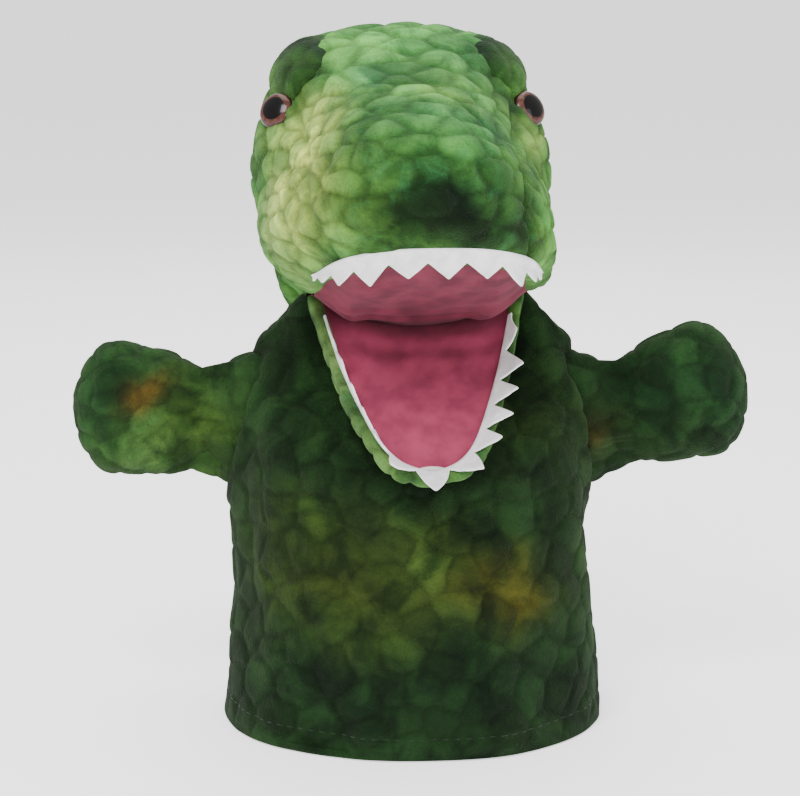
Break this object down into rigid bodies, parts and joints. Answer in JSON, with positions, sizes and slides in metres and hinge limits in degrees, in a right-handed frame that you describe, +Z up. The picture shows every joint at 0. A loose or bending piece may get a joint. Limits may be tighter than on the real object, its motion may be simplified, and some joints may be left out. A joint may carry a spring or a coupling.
{
  "type": "moving-mouth hand puppet",
  "caption": "Plush dinosaur hand puppet: open glove sleeve, turning head with a hinged toothed mouth, and stuffed arms that swing and lift.",
  "frame": {"origin": "centre of the hand opening, on the hem's lower face", "axes": "+Z up out of the sleeve, -Y the way the puppet faces, +X to the puppet's left"},
  "size_m": [0.2539, 0.1677, 0.2583],
  "materials": {
    "plush_body": "short pile plush, embossed with scales, mottled dark green, olive and ochre",
    "plush_head": "short pile plush, embossed with scales, mottled light green, teal and yellow",
    "plush_brow": "short pile plush, dark green",
    "mouth_cloth": "fine woven cloth, dusty pink",
    "felt": "white felt",
    "lining_cloth": "thin dark woven lining",
    "filling": "polyester fibre filling",
    "mouth_board": "plain plastic sheet",
    "label_tape": "blank satin tape",
    "eye_plastic": "gloss, black pupil and brown ring",
    "washer_plastic": "moulded, white"
  },
  "bodies": {
    "sleeve": {"body_front_panel": "plush_body", "body_back_panel": "plush_body", "lining_front_panel": "lining_cloth", "lining_back_panel": "lining_cloth", "hem_band": "plush_body", "care_label": "label_tape"},
    "neck": {"throat_gusset": "plush_body", "nape_gusset": "plush_body", "mouth_crease_tape": "mouth_cloth"},
    "head": {"crown_panel": "plush_head", "left_cheek_panel": "plush_head", "right_cheek_panel": "plush_head", "head_filling": "filling", "finger_pocket": "lining_cloth", "upper_mouth_board": "mouth_board", "upper_mouth_lining": "mouth_cloth", "upper_teeth": "felt", "left_eye": "eye_plastic", "right_eye": "eye_plastic", "left_eye_washer": "washer_plastic", "right_eye_washer": "washer_plastic", "left_brow": "plush_brow", "right_brow": "plush_brow"},
    "jaw": {"jaw_panel": "plush_head", "jaw_filling": "filling", "thumb_pocket": "lining_cloth", "lower_mouth_board": "mouth_board", "lower_mouth_lining": "mouth_cloth", "lower_teeth": "felt"},
    "left_shoulder": {"left_shoulder_gusset": "plush_body"},
    "left_arm": {"left_arm_front_panel": "plush_body", "left_arm_back_panel": "plush_body", "left_arm_filling": "filling"},
    "right_shoulder": {"right_shoulder_gusset": "plush_body"},
    "right_arm": {"right_arm_front_panel": "plush_body", "right_arm_back_panel": "plush_body", "right_arm_filling": "filling"}
  },
  "joints": [
    {"name": "neck_turn", "type": "hinge", "parent": "sleeve", "child": "neck", "pos_m": [0, 0, 0.13], "axis": [0, 0, 1], "range_deg": [-22, 22], "deforming": ["throat_gusset", "nape_gusset"]},
    {"name": "head_nod", "type": "hinge", "parent": "neck", "child": "head", "pos_m": [0.00192, -0.02192, 0.152], "axis": [-0.9962, -0.0872, 0], "range_deg": [-8, 12]},
    {"name": "jaw_open", "type": "hinge", "parent": "neck", "child": "jaw", "pos_m": [0.00192, -0.02192, 0.152], "axis": [0.9962, 0.0872, 0], "range_deg": [-42, 6]},
    {"name": "left_arm_swing", "type": "hinge", "parent": "sleeve", "child": "left_shoulder", "pos_m": [0.065, -0.003, 0.113], "axis": [0, 0, -1], "range_deg": [-20, 40], "stiffness_Nm_per_rad": 0.1, "deforming": ["left_shoulder_gusset"]},
    {"name": "left_arm_raise", "type": "hinge", "parent": "left_shoulder", "child": "left_arm", "pos_m": [0.075, -0.003, 0.115], "axis": [0, -1, 0], "range_deg": [-28, 30], "stiffness_Nm_per_rad": 0.1},
    {"name": "right_arm_swing", "type": "hinge", "parent": "sleeve", "child": "right_shoulder", "pos_m": [-0.065, -0.003, 0.113], "axis": [0, 0, 1], "range_deg": [-20, 40], "stiffness_Nm_per_rad": 0.1, "deforming": ["right_shoulder_gusset"]},
    {"name": "right_arm_raise", "type": "hinge", "parent": "right_shoulder", "child": "right_arm", "pos_m": [-0.075, -0.003, 0.1137], "axis": [0, 1, 0], "range_deg": [-22, 30], "stiffness_Nm_per_rad": 0.1}
  ]
}
